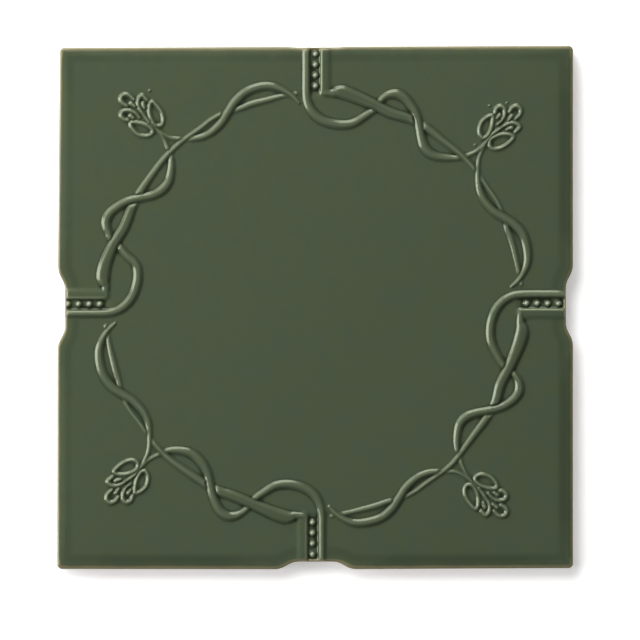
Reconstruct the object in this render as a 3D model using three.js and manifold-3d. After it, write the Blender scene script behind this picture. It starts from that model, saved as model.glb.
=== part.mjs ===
// Relief-moulded wall tile: one fired clay body with a raised wreath of entwined stems,
// four small flower heads and four beaded straps that run out to shallow edge notches.
// Lengths are in millimetres. The back lies on z = 0 and the ornament points up.

import * as THREE from 'three';
import { mergeVertices } from 'three/addons/utils/BufferGeometryUtils.js';
import Module from 'manifold-3d';

const wasm = await Module();
wasm.setup();

// Body of the tile. It was cut a little out of square: a lean is how far a side's end stands in
// from its other end, and a bow is how far the middle of a side stands out.

const TILE_WIDTH = 150.3;
const TILE_HEIGHT = 152.45;
const FACE_HEIGHT = 8;
const LEFT_LEAN = 0.8;
const TOP_LEAN = 0.6;
const BOTTOM_LEAN = 0.25;
const EDGE_ROUNDING = 0.5;
const EDGE_STEPS = 3;
const BACK_ARRIS = 0.35;
const CORNER_RADIUS = 1.4;
const CORNER_STEPS = 4;

// Notches in the middle of the sides: the foot is the half length of the flat floor,
// the reach is the half length of the whole notch, and shift moves it along its side

const SHOULDER_STEPS = 6;
const NOTCH_TOP = { depth: 0.2, foot: 5.6, reach: 8.5, shift: -0.15, bow: 0 };
const NOTCH_RIGHT = { depth: 2.05, foot: 4.8, reach: 12, shift: -0.4, bow: 0 };
const NOTCH_BOTTOM = { depth: 2.2, foot: 4.8, reach: 12.1, shift: -0.15, bow: 0.2 };
const NOTCH_LEFT = { depth: 2.15, foot: 5, reach: 12.5, shift: 0.4, bow: 0.25 };

// Relief heights and the cross-section of a stem, given as shares of half width and height

const WREATH_MIDDLE = new THREE.Vector2(0.25, -0.125);
const CREST_PER_HALF_WIDTH = 0.47;
const CREST_LEAST = 0.2;
const CREST_MOST = 1.02;
const FOOT_SINK = -0.5;
const ROUND_STEM = [[-1.1, FOOT_SINK], [-0.72, 0.74], [0, 1], [0.72, 0.74], [1.1, FOOT_SINK]];
const FLAT_STEM = [[-1.1, FOOT_SINK], [-0.74, 0.84], [0, 1], [0.74, 0.84], [1.1, FOOT_SINK]];
const LEDGE = [[-1.05, FOOT_SINK], [-0.75, 0.85], [-0.1, 1], [1.3, 0.55], [2.6, FOOT_SINK]];

// How far a stem may turn, in radians, or run before it gets its next cross-section

const STEM_TURN = 0.28;
const RIDGE_TURN = 0.5;
const STEM_STRIDE = 5;

// A stem under another one is pressed down by this share over this distance

const TUCK_DROP = 0.55;
const TUCK_REACH = 1.8;

// Beaded strap. The setbacks keep its rails and beads clear of the rounded edge.

const CHANNEL_DEPTH = 0.6;
const CHANNEL_LEFT = -2.05;
const CHANNEL_RIGHT = 1.05;
const CHANNEL_END = 61.3;
const CHANNEL_RUNOUT = 1.6;
const STRAP_SETBACK = 0.3;
const BEAD_X = -0.35;
const BEAD_FIRST_Y = 64.25;
const BEAD_PITCH = 3.1;
const BEAD_COUNT = 4;
const BEAD_RADIUS = 0.9;
const BEAD_HEIGHT = 1.15;
const BEAD_SIDES = 7;
const BEAD_SETBACK = 0.85;

// The ornament is one quarter, drawn here for the top of the tile as x, y and half width.
// It is pressed four times, turned clockwise from side to side.

const VINE = [
  [-3.05, 66, 1], [-3, 62.2, 1.05], [-2.55, 59.6, 1.1], [-1.3, 57.2, 1.2], [0.8, 55.3, 1.25],
  [3.6, 54.1, 1.25], [7.2, 53.5, 1.2], [10.6, 53.9, 1.15], [13.8, 55.4, 1.05], [16.6, 57.2, 0.9],
  [18.4, 59.5, 0.8], [19.9, 61.5, 0.85], [21.8, 62.7, 1.1], [24.2, 62.8, 1.3], [26.4, 61.4, 1.25],
  [28, 58.9, 1.15], [29.3, 55.8, 1.1], [30.1, 52.4, 1.1], [30.7, 49.4, 1.15], [31.9, 46.8, 1.3],
  [34.2, 44.9, 1.2], [37.6, 44.1, 1], [41.2, 44, 0.7], [43.2, 44.6, 0.6], [45.2, 45.3, 0.55],
  [47.2, 46.4, 0.5], [49, 48, 0.5], [50.2, 49.5, 0.46], [51.4, 51, 0.42],
];
const BRANCH = [
  [1.6, 62.5, 0.85], [3.6, 62.45, 0.9], [4.9, 62.4, 1], [6.1, 62.75, 1.4], [7.6, 62.75, 1.7],
  [10, 62, 1.75], [14, 60.3, 1.65], [18, 58.6, 1.4], [22, 57, 1.3], [26.5, 55.2, 1.15],
  [29.8, 53.6, 1], [33, 51.7, 0.95], [36.5, 49.5, 0.85], [40, 47, 0.75], [43, 44.5, 0.65],
  [45.8, 41.7, 0.6], [48.2, 38.6, 0.55], [50.6, 35, 0.55], [53, 31.2, 0.5], [54.8, 27.3, 0.5],
  [55.7, 23.4, 0.65], [56.9, 19.2, 0.75], [58, 15, 0.7], [58.8, 11.2, 0.55], [59.6, 6.9, 0.35],
];
const TENDRIL = [
  [49, 47.8, 0.5], [48.2, 45.9, 0.5], [47.5, 43.8, 0.52], [47.3, 41.4, 0.56], [47.3, 38.4, 0.7],
  [47.8, 35, 0.9], [49.2, 31.7, 1], [51.6, 28.9, 1.1], [54.7, 26.9, 1.15], [57.8, 24.7, 1.2],
  [60.2, 21.3, 1.2], [61.4, 17.2, 1.15], [61.4, 13.2, 1], [60.4, 10, 0.8], [58.8, 7.5, 0.6],
  [57, 5.8, 0.45],
];
const PETALS = [
  [
    [48.4, 49.9, 0.42], [47.55, 51.6, 0.42], [48, 54.1, 0.42], [49.6, 55.8, 0.42],
    [51.3, 56.3, 0.42], [51.4, 54.5, 0.42], [50.7, 51.9, 0.42], [49.6, 50.2, 0.42],
  ],
  [
    [50.6, 47.6, 0.42], [50.9, 49.4, 0.42], [53.3, 50.7, 0.42], [55.8, 50.95, 0.42],
    [57.5, 50.2, 0.42], [56.4, 48.7, 0.42], [54.1, 47.1, 0.42], [51.9, 46.7, 0.42],
  ],
];
const CURLS = [
  [[52.1, 57.1, 0.42], [52.5, 58.4, 0.42], [53.7, 59.05, 0.42], [54.8, 58.4, 0.42],
    [54.9, 56.6, 0.42], [54.1, 54.9, 0.38], [52.8, 53.8, 0.38]],
  [[56.3, 57.4, 0.42], [57.2, 58.7, 0.42], [58.6, 59.1, 0.42], [59.6, 58.2, 0.42],
    [59.4, 56.7, 0.42], [58.1, 55.4, 0.38]],
  [[51.4, 51, 0.42], [54, 52.9, 0.38], [56.2, 54.1, 0.42], [58.1, 54.1, 0.42],
    [59.3, 53, 0.42], [58, 51.6, 0.38]],
];
const STAMENS = [
  [[52.7, 55.6, 0.38], [53.4, 56.4, 0.5]],
  [[56.1, 55.1, 0.38], [57, 56.3, 0.5]],
  [[55.6, 52.35, 0.38], [57, 52.8, 0.5]],
];
const LEDGE_X = 1.75;
const LEDGE_END = 62.6;
const LEDGE_HALF_WIDTH = 0.7;

// Where one stem passes under another

const VINE_TUCKS = [[17.4, 58.3], [42.8, 44.4]];
const BRANCH_TUCKS = [[29.5, 53.8], [54.8, 26.9], [59.2, 8.6]];
const TENDRIL_TUCKS = [[47.3, 39.8]];

// The four pressings differ a little: how far each mark of the drawing slipped in each quarter

const MARKS = [
  [-1, 68], [7.2, 53.5], [15, 60], [23.5, 62.9], [30, 53], [36, 44.3],
  [47.5, 39], [53, 52.5], [54.7, 27], [61.4, 15], [57.9, 15.5],
];
const SLIPS_TOP = [
  [0.3, 0.33], [0.16, -0.34], [-0.09, 0.06], [-0.45, -0.85], [0.1, 0.27], [-0.37, -0.48],
  [-0.06, -0.75], [0.22, -0.44], [-0.03, -0.58], [0.26, -0.11], [0.01, 0.85],
];
const SLIPS_RIGHT = [
  [-0.87, -2.96], [-0.38, -2.69], [-0.38, -1.85], [-0.88, -1.72], [-0.04, -2.4], [-0.13, -2.97],
  [0.34, -2.64], [1.35, -3.42], [0.8, -2.55], [1.23, -2.43], [0.79, -1.52],
];
const SLIPS_BOTTOM = [
  [1.15, -1.7], [1.25, -2.1], [1.07, -1.43], [1.75, -1.52], [0.97, -2.38], [1.51, -2.46],
  [0.99, -2.12], [1.22, -2.31], [1.61, -1.73], [1.58, -1.6], [1.3, -1.03],
];
const SLIPS_LEFT = [
  [1.29, -1.49], [2.01, -1.73], [1.31, -0.02], [1.05, -1.7], [1.82, -1.39], [2.09, -2.03],
  [1.81, -1.87], [2.44, -2.58], [2.11, -1.37], [2.94, -0.96], [2.39, -0.89],
];

// The sides of the tile, clockwise from the top, each with its notch and its quarter of the wreath

const halfWidth = TILE_WIDTH / 2;
const halfHeight = TILE_HEIGHT / 2;
const TOP_LEFT = new THREE.Vector2(-halfWidth + LEFT_LEAN, halfHeight - TOP_LEAN);
const TOP_RIGHT = new THREE.Vector2(halfWidth, halfHeight);
const BOTTOM_RIGHT = new THREE.Vector2(halfWidth, -halfHeight + BOTTOM_LEAN);
const BOTTOM_LEFT = new THREE.Vector2(-halfWidth, -halfHeight);
const SIDES = [
  { from: TOP_LEFT, to: TOP_RIGHT, notch: NOTCH_TOP, slips: SLIPS_TOP },
  { from: TOP_RIGHT, to: BOTTOM_RIGHT, notch: NOTCH_RIGHT, slips: SLIPS_RIGHT },
  { from: BOTTOM_RIGHT, to: BOTTOM_LEFT, notch: NOTCH_BOTTOM, slips: SLIPS_BOTTOM },
  { from: BOTTOM_LEFT, to: TOP_LEFT, notch: NOTCH_LEFT, slips: SLIPS_LEFT },
];
SIDES.forEach((side, i) => {
  side.turn = (-i * Math.PI) / 2;
  const middle = side.from.clone().lerp(side.to, 0.5).sub(WREATH_MIDDLE);
  side.edge = middle.rotateAround(new THREE.Vector2(), -side.turn).y + side.notch.bow - side.notch.depth;
});

// A closed solid stretched over rings of the same number of points

function skin(rings, looped = false) {
  const count = rings[0].length;
  const index = [];
  const strips = looped ? rings.length : rings.length - 1;
  for (let r = 0; r < strips; r++) {
    const here = r * count;
    const next = ((r + 1) % rings.length) * count;
    for (let i = 0; i < count; i++) {
      const j = (i + 1) % count;
      index.push(here + i, here + j, next + j, here + i, next + j, next + i);
    }
  }
  if (!looped) {
    const last = (rings.length - 1) * count;
    const cap = (ring) => {
      const normal = new THREE.Vector3();
      ring.forEach((p, i) => normal.add(new THREE.Vector3().crossVectors(p, ring[(i + 1) % count])));
      const across = ring[1].clone().sub(ring[0]).normalize();
      const up = new THREE.Vector3().crossVectors(normal.normalize(), across);
      const flat = ring.map((p) => new THREE.Vector2(p.dot(across), p.dot(up)));
      return THREE.ShapeUtils.triangulateShape(flat, []);
    };
    for (const [a, b, c] of cap(rings[0])) index.push(a, c, b);
    for (const [a, b, c] of cap(rings[rings.length - 1])) index.push(last + a, last + b, last + c);
  }
  const geometry = new THREE.BufferGeometry().setFromPoints(rings.flat());
  geometry.setIndex(index);
  return solid(geometry);
}

function solid(geometry) {
  const merged = mergeVertices(geometry, 1e-5);
  const mesh = new wasm.Mesh({
    numProp: 3,
    vertProperties: merged.attributes.position.array,
    triVerts: new Uint32Array(merged.index.array),
  });
  return new wasm.Manifold(mesh);
}

// One side of the outline, from its start corner to its end corner, with its notch

function drawSide(shape, { from, to, notch }) {
  const along = to.clone().sub(from).normalize();
  const inward = new THREE.Vector2(along.y, -along.x);
  const middle = from.clone().lerp(to, 0.5);
  middle.addScaledVector(along, notch.shift).addScaledVector(inward, -notch.bow);
  const at = (s, d) => middle.clone().addScaledVector(along, s).addScaledVector(inward, d);
  const length = notch.reach - notch.foot;
  const start = at(-notch.reach, 0);
  shape.lineTo(start.x, start.y);
  const easeIn = at(-notch.reach + 0.45 * length, 0);
  const floorIn = at(-notch.foot - 0.49 * length, notch.depth);
  const floorStart = at(-notch.foot, notch.depth);
  shape.bezierCurveTo(easeIn.x, easeIn.y, floorIn.x, floorIn.y, floorStart.x, floorStart.y);
  const floorEnd = at(notch.foot, notch.depth);
  shape.lineTo(floorEnd.x, floorEnd.y);
  const floorOut = at(notch.foot + 0.49 * length, notch.depth);
  const easeOut = at(notch.reach - 0.45 * length, 0);
  const end = at(notch.reach, 0);
  shape.bezierCurveTo(floorOut.x, floorOut.y, easeOut.x, easeOut.y, end.x, end.y);
}

function drawCorner(shape, before, corner, after) {
  const toBefore = before.clone().sub(corner).normalize().multiplyScalar(CORNER_RADIUS);
  const toAfter = after.clone().sub(corner).normalize().multiplyScalar(CORNER_RADIUS);
  const start = corner.clone().add(toBefore);
  shape.lineTo(start.x, start.y);
  const centre = start.clone().add(toAfter);
  for (let i = 1; i <= CORNER_STEPS; i++) {
    const angle = (i / CORNER_STEPS) * (Math.PI / 2);
    const p = centre
      .clone()
      .addScaledVector(toAfter, -Math.cos(angle))
      .addScaledVector(toBefore, -Math.sin(angle));
    shape.lineTo(p.x, p.y);
  }
}

function outlinePoints() {
  const shape = new THREE.Shape();
  const start = TOP_LEFT.clone().lerp(TOP_RIGHT, 0.05);
  shape.moveTo(start.x, start.y);
  SIDES.forEach((side, i) => {
    drawSide(shape, side);
    drawCorner(shape, side.from, side.to, SIDES[(i + 1) % 4].to);
  });
  const points = shape.getPoints(SHOULDER_STEPS);
  const apart = points.filter((p, i) => p.distanceTo(points[(i + 1) % points.length]) > 0.01);
  return apart.reverse();
}

// The outline moved inwards, its vertices kept in step

function inset(points, distance, z) {
  const count = points.length;
  return points.map((p, i) => {
    const before = p.clone().sub(points[(i + count - 1) % count]).normalize();
    const after = points[(i + 1) % count].clone().sub(p).normalize();
    const mitre = before.add(after).normalize();
    const spread = 1 / Math.max(0.7, Math.abs(mitre.dot(after)));
    return new THREE.Vector3(
      p.x - mitre.y * distance * spread,
      p.y + mitre.x * distance * spread,
      z,
    );
  });
}

function buildBody() {
  const outline = outlinePoints();
  const rings = [inset(outline, BACK_ARRIS, 0), inset(outline, 0, BACK_ARRIS)];
  for (let i = 0; i <= EDGE_STEPS; i++) {
    const angle = (i / EDGE_STEPS) * (Math.PI / 2);
    const distance = EDGE_ROUNDING * (1 - Math.cos(angle));
    rings.push(inset(outline, distance, FACE_HEIGHT - EDGE_ROUNDING * (1 - Math.sin(angle))));
  }
  return skin(rings);
}

// A point of the drawing in its quarter of the tile

function place(side, x, y) {
  let sum = 0;
  const moved = new THREE.Vector2(0, 0);
  MARKS.forEach(([markX, markY], i) => {
    const weight = Math.pow((x - markX) ** 2 + (y - markY) ** 2 + 1, -1.5);
    moved.addScaledVector(new THREE.Vector2(...side.slips[i]), weight);
    sum += weight;
  });
  moved.divideScalar(sum).add(new THREE.Vector2(x, y));
  return moved.rotateAround(new THREE.Vector2(), side.turn).add(WREATH_MIDDLE);
}

function crestOf(halfWidth, x, y, tucks) {
  let height = Math.min(CREST_MOST, CREST_LEAST + CREST_PER_HALF_WIDTH * halfWidth);
  for (const [tuckX, tuckY] of tucks) {
    const distance = Math.hypot(x - tuckX, y - tuckY) / TUCK_REACH;
    height *= 1 - TUCK_DROP * Math.exp(-distance * distance);
  }
  return height;
}

// A raised stem that follows its drawn line

function buildStem(side, drawn, section, { tucks = [], looped = false, turn = STEM_TURN } = {}) {
  const curve = new THREE.CatmullRomCurve3(
    drawn.map((p) => new THREE.Vector3(...p)),
    looped,
  );
  const samples = curve.getPoints(drawn.length * 8);
  if (looped) samples.pop();
  const kept = [samples[0]];
  let heading = samples[1].clone().sub(samples[0]).setZ(0).normalize();
  for (let i = 1; i < samples.length - 1; i++) {
    const step = samples[i + 1].clone().sub(samples[i]).setZ(0).normalize();
    const far = samples[i].distanceTo(kept[kept.length - 1]) > STEM_STRIDE;
    if (heading.angleTo(step) > turn || far) {
      kept.push(samples[i]);
      heading = step;
    }
  }
  if (!looped) kept.push(samples[samples.length - 1]);
  const middles = kept.map((p) => place(side, p.x, p.y));
  const count = middles.length;
  const rings = middles.map((middle, i) => {
    const before = middles[looped ? (i + count - 1) % count : Math.max(0, i - 1)];
    const after = middles[looped ? (i + 1) % count : Math.min(count - 1, i + 1)];
    const along = after.clone().sub(before).normalize();
    const across = new THREE.Vector2(-along.y, along.x);
    const halfWidth = kept[i].z;
    const crest = crestOf(halfWidth, kept[i].x, kept[i].y, tucks);
    const ring = section.map(([u, v]) => {
      const p = middle.clone().addScaledVector(across, u * halfWidth);
      return new THREE.Vector3(p.x, p.y, FACE_HEIGHT + (v < 0 ? v : v * crest));
    });
    return ring.reverse();
  });
  return skin(rings, looped);
}

function buildBead(side, x, y) {
  const middle = place(side, x, y);
  const floor = FACE_HEIGHT - CHANNEL_DEPTH;
  const ring = (radius, z) =>
    Array.from({ length: BEAD_SIDES }, (_, i) => {
      const angle = (i / BEAD_SIDES) * 2 * Math.PI;
      return new THREE.Vector3(
        middle.x + radius * Math.cos(angle),
        middle.y + radius * Math.sin(angle),
        z,
      );
    });
  return skin([
    ring(BEAD_RADIUS, floor + FOOT_SINK),
    ring(BEAD_RADIUS, floor),
    ring(BEAD_RADIUS * 0.8, floor + BEAD_HEIGHT * 0.65),
    ring(BEAD_RADIUS * 0.3, floor + BEAD_HEIGHT),
  ]);
}

// The sunk bed of a strap, which runs out to the face at its inner end

function buildChannel(side) {
  const lift = side.edge + 1 - side.slips[0][1];
  const wall = (x) =>
    [
      [lift, FACE_HEIGHT + 1],
      [lift, FACE_HEIGHT - CHANNEL_DEPTH],
      [CHANNEL_END, FACE_HEIGHT - CHANNEL_DEPTH],
      [CHANNEL_END - CHANNEL_RUNOUT, FACE_HEIGHT + 0.02],
      [CHANNEL_END - CHANNEL_RUNOUT, FACE_HEIGHT + 1],
    ].map(([y, z]) => {
      const p = place(side, x, y);
      return new THREE.Vector3(p.x, p.y, z);
    });
  return skin([wall(CHANNEL_RIGHT), wall(CHANNEL_LEFT)]);
}

function buildOrnament(side) {
  const edge = side.edge - side.slips[0][1];
  const start = edge - STRAP_SETBACK;
  const ledge = [
    [LEDGE_X, start, LEDGE_HALF_WIDTH],
    [LEDGE_X, (start + LEDGE_END) / 2, LEDGE_HALF_WIDTH],
    [LEDGE_X, LEDGE_END, LEDGE_HALF_WIDTH],
  ];
  const solids = [
    buildStem(side, [[VINE[0][0], start, 1], ...VINE], ROUND_STEM, { tucks: VINE_TUCKS }),
    buildStem(side, BRANCH, FLAT_STEM, { tucks: BRANCH_TUCKS }),
    buildStem(side, TENDRIL, ROUND_STEM, { tucks: TENDRIL_TUCKS }),
    buildStem(side, ledge, LEDGE),
  ];
  for (const petal of PETALS) {
    solids.push(buildStem(side, petal, ROUND_STEM, { looped: true, turn: RIDGE_TURN }));
  }
  for (const curl of CURLS) solids.push(buildStem(side, curl, ROUND_STEM, { turn: RIDGE_TURN }));
  for (const stamen of STAMENS) solids.push(buildStem(side, stamen, ROUND_STEM));
  for (let i = 0; i < BEAD_COUNT; i++) {
    const y = BEAD_FIRST_Y + i * BEAD_PITCH;
    if (y < edge - BEAD_SETBACK) solids.push(buildBead(side, BEAD_X, y));
  }
  return solids;
}

let tile = buildBody();
for (const side of SIDES) tile = tile.subtract(buildChannel(side));
for (const side of SIDES) {
  for (const raised of buildOrnament(side)) tile = tile.add(raised);
}

const made = tile.getMesh();
const geometry = new THREE.BufferGeometry();
geometry.setAttribute('position', new THREE.BufferAttribute(made.vertProperties, 3));
geometry.setIndex(new THREE.BufferAttribute(made.triVerts, 1));
geometry.computeVertexNormals();

const glaze = new THREE.MeshStandardMaterial({ color: 0x4b5640, roughness: 0.25, metalness: 0 });
const mesh = new THREE.Mesh(geometry, glaze);
mesh.name = 'tile';

const wallTile = new THREE.Group();
wallTile.name = 'wall_tile';
wallTile.add(mesh);

export default wallTile;
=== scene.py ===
"""Dressed model of a relief-moulded, green-glazed wall tile.

The tile is one fired piece. Its face is a fine blank that a Geometry Nodes tree presses with the
wreath: entwined stems, flower heads and beaded straps, drawn once and pressed four times with the
small slips of each pressing. The same tree keeps how deep each point lies below its surroundings,
how sharp it stands and where the beads rise, and the glaze takes its colour from that: paler where
it runs thin, darker in hollows and at the feet of the relief, partly as pooled glaze and partly as
painted shade, and pale on the bead tops, partly as thin glaze and partly as a painted highlight.
Lengths are in millimetres up to the moment that a mesh is made.
"""

import logging
import math
from dataclasses import dataclass, field
from enum import Enum

import bpy
import numpy as np
from mathutils import Matrix, Vector, kdtree


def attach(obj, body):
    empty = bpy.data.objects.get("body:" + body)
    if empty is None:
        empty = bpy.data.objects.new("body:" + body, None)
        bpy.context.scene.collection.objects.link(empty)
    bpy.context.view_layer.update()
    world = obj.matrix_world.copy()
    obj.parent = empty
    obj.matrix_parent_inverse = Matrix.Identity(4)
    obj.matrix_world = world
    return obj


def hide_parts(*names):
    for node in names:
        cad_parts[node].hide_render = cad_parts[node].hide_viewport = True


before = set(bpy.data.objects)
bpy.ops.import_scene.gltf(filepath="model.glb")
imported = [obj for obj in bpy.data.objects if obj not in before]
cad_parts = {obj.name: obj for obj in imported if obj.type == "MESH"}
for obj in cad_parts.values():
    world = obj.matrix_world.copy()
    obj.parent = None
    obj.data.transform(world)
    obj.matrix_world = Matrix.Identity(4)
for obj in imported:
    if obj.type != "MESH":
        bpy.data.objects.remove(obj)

LOG = logging.getLogger("wall_tile")
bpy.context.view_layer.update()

NODE = "tile"
MM = 0.001
WHITE = (1.0, 1.0, 1.0, 1.0)

Pair = tuple[float, float]
Triple = tuple[float, float, float]
Pairs = tuple[Pair, ...]
Points = tuple[Triple, ...]
Ease = tuple[float, ...]
Socket = bpy.types.NodeSocket


class Side(Enum):
    """A side of the tile, numbered clockwise from the top one."""

    TOP = 0
    RIGHT = 1
    BOTTOM = 2
    LEFT = 3


class Press(Enum):
    """What a drawn line does to the clay, which is also the group that it is drawn in."""

    STEM = "stem"
    BRANCH = "branch"
    RIDGE = "ridge"
    LEDGE = "ledge"
    SLOPE = "slope"
    CHANNEL = "channel"
    BEADS = "beads"

    @property
    def guide(self) -> str:
        """The name of the guide mesh that holds this group's lines."""
        return f"{self.value}_guide"


# The drawing: one quarter of the wreath, at the top of the tile, as x, y and half width

VINE: Points = (
    (-3.05, 66, 1.0), (-3.0, 62.2, 1.05), (-2.55, 59.6, 1.1), (-1.3, 57.2, 1.2),
    (0.8, 55.3, 1.25), (3.6, 54.1, 1.25), (7.2, 53.5, 1.2), (10.6, 53.9, 1.15),
    (13.8, 55.4, 1.05), (16.6, 57.2, 0.9), (18.4, 59.5, 0.8), (19.9, 61.5, 0.85),
    (21.8, 62.7, 1.1), (24.2, 62.8, 1.3), (26.4, 61.4, 1.25), (28.0, 58.9, 1.15),
    (29.3, 55.8, 1.1), (30.1, 52.4, 1.1), (30.7, 49.4, 1.15), (31.9, 46.8, 1.3),
    (34.2, 44.9, 1.2), (37.6, 44.1, 1.0), (41.2, 44.0, 0.7), (43.2, 44.6, 0.6),
    (45.2, 45.3, 0.55), (47.2, 46.4, 0.5), (49.0, 48.0, 0.5), (50.2, 49.5, 0.46),
    (51.4, 51.0, 0.42),
)
BRANCH: Points = (
    (2.4, 62.5, 0.85), (3.6, 62.45, 0.9), (4.9, 62.4, 1.0), (6.1, 62.75, 1.4),
    (7.6, 62.75, 1.7), (10.0, 62.0, 1.7), (14.0, 60.3, 1.5), (18.0, 58.6, 1.3),
    (22.0, 57.0, 1.3), (26.5, 55.2, 1.15), (29.8, 53.6, 1.0), (33.0, 51.7, 0.95),
    (36.5, 49.5, 0.85), (40.0, 47.0, 0.75), (43.0, 44.5, 0.65), (45.8, 41.7, 0.6),
    (48.2, 38.6, 0.55), (50.6, 35.0, 0.55), (53.0, 31.2, 0.5), (54.8, 27.3, 0.5),
    (55.7, 23.4, 0.65), (56.9, 19.2, 0.75), (58.0, 15.0, 0.7), (58.8, 11.2, 0.55),
    (59.7, 6.6, 0.5),
)
TENDRIL: Points = (
    (49.0, 47.8, 0.5), (48.2, 45.9, 0.5), (47.5, 43.8, 0.52), (47.3, 41.4, 0.56),
    (47.3, 38.4, 0.7), (47.8, 35.0, 0.9), (49.2, 31.7, 1.0), (51.6, 28.9, 1.1),
    (54.7, 26.9, 1.15), (57.8, 24.7, 1.2), (60.2, 21.3, 1.2), (61.4, 17.2, 1.15),
    (61.4, 13.2, 1.0), (60.4, 10.0, 0.8), (58.8, 7.5, 0.6), (57.0, 5.8, 0.45),
)
PETALS: tuple[Points, ...] = (
    (
        (48.4, 49.9, 0.42), (47.55, 51.6, 0.42), (48.0, 54.1, 0.42), (49.6, 55.8, 0.42),
        (51.3, 56.3, 0.42), (51.4, 54.5, 0.42), (50.7, 51.9, 0.42), (49.6, 50.2, 0.42),
        (48.4, 49.9, 0.42),
    ),
    (
        (50.6, 47.6, 0.42), (50.9, 49.4, 0.42), (53.3, 50.7, 0.42), (55.8, 50.95, 0.42),
        (57.5, 50.2, 0.42), (56.4, 48.7, 0.42), (54.1, 47.1, 0.42), (51.9, 46.7, 0.42),
        (50.6, 47.6, 0.42),
    ),
)
CURLS: tuple[Points, ...] = (
    ((52.1, 57.1, 0.42), (52.5, 58.4, 0.5), (53.7, 59.05, 0.56), (54.8, 58.4, 0.5),
     (54.9, 56.6, 0.42), (54.1, 54.9, 0.38), (52.8, 53.8, 0.38)),
    ((56.3, 57.4, 0.42), (57.2, 58.7, 0.5), (58.6, 59.1, 0.56), (59.6, 58.2, 0.5),
     (59.4, 56.7, 0.42), (58.1, 55.4, 0.38)),
    ((51.4, 51.0, 0.42), (54.0, 52.9, 0.38), (56.2, 54.1, 0.42), (58.1, 54.1, 0.5),
     (59.3, 53.0, 0.54), (58.0, 51.6, 0.42)),
)
STAMENS: tuple[Points, ...] = (
    ((52.7, 55.6, 0.38), (53.4, 56.4, 0.5)),
    ((56.1, 55.1, 0.38), (57.0, 56.3, 0.5)),
    ((55.6, 52.35, 0.38), (57.0, 52.8, 0.5)),
)

# Crumbs of clay left standing beside two of the flower heads, as x, y and half width on the tile

CRUMBS: Points = (
    (-48.2, 63.1, 0.34), (50.7, 58.7, 0.26), (55.8, 59.5, 0.24), (46.5, 47.3, 0.22),
)

# How far out the drawn stem takes up the strap's rail, and the middle point of a strap's line

RAIL_JOIN = 70.0
STRAP_TURN = 68.0

# The strap's straight lines, each as x, inner end, half width and height

STRAP: dict[Press, tuple[float, float, float, float]] = {
    Press.LEDGE: (1.7, 63.0, 0.6, 0.5),
    Press.SLOPE: (2.3, 63.0, 1.9, 0.44),
    Press.CHANNEL: (-0.5, 60.6, 1.5, 1.0),
}

# Where a stem passes over a branch and where the branch passes over it

STEM_OVER: Pairs = ((29.5, 53.8), (54.8, 26.9), (59.2, 8.6))
BRANCH_OVER: Pairs = ((17.4, 58.6), (42.8, 44.6))
TENDRIL_CROSSING: Pairs = ((47.2, 40.1),)

# How far each mark of the drawing slipped in each pressing

MARKS: Pairs = (
    (-1, 68), (7.2, 53.5), (15, 60), (23.5, 62.9), (30, 53), (36, 44.3),
    (47.5, 39), (53, 52.5), (54.7, 27), (61.4, 15), (57.9, 15.5),
)
SLIPS: dict[Side, Pairs] = {
    Side.TOP: (
        (0.24, 0.32), (0.23, -0.26), (-0.06, 0.17), (-0.33, -0.65), (0.04, 0.26), (-0.26, -0.4),
        (-0.09, -0.81), (0.1, -0.42), (-0.12, -0.55), (0.17, -0.35), (-0.12, 1.09),
    ),
    Side.RIGHT: (
        (-0.98, -2.89), (-0.41, -2.74), (0.21, -2.55), (0.04, -3.62), (-0.1, -2.39), (-0.29, -2.98),
        (0.31, -2.69), (1.17, -3.61), (0.74, -2.6), (1.13, -2.64), (0.64, -1.13),
    ),
    Side.BOTTOM: (
        (1.33, -1.72), (1.14, -2.16), (0.99, -1.69), (1.44, -2.18), (0.76, -1.43), (2.29, -2.62),
        (1.1, -2.04), (1.2, -2.42), (1.53, -1.68), (1.61, -1.71), (1.29, -0.7),
    ),
    Side.LEFT: (
        (1.41, -1.4), (2.0, -1.71), (1.04, 0.15), (1.44, -1.86), (1.84, -1.31), (2.28, -1.97),
        (1.84, -1.86), (2.51, -2.49), (2.15, -1.35), (3.02, -0.93), (2.4, -0.78),
    ),
}


def place_object(name: str, data: bpy.types.ID) -> bpy.types.Object:
    """Makes an object of the given data, puts it in the scene and returns it."""
    made = bpy.data.objects.new(name, data)
    bpy.context.scene.collection.objects.link(made)
    return made


def store_values(mesh: bpy.types.Mesh, name: str, values: np.ndarray) -> None:
    """Keeps one value for each vertex of a mesh, under a name that the node trees read."""
    attribute = mesh.attributes.new(name, "FLOAT", "POINT")
    attribute.data.foreach_set("value", values.astype(np.float32))


def search_tree(points: np.ndarray) -> kdtree.KDTree:
    """Builds a tree that finds the nearest of the given flat points."""
    tree = kdtree.KDTree(len(points))
    for i, (x, y) in enumerate(points):
        tree.insert((x, y, 0.0), i)
    tree.balance()
    return tree


def smoothstep(low: float, high: float, value: np.ndarray) -> np.ndarray:
    """Returns 0 below low, 1 above high and an eased rise between them."""
    t = np.clip((value - low) / (high - low), 0.0, 1.0)
    return t * t * (3.0 - 2.0 * t)


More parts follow.
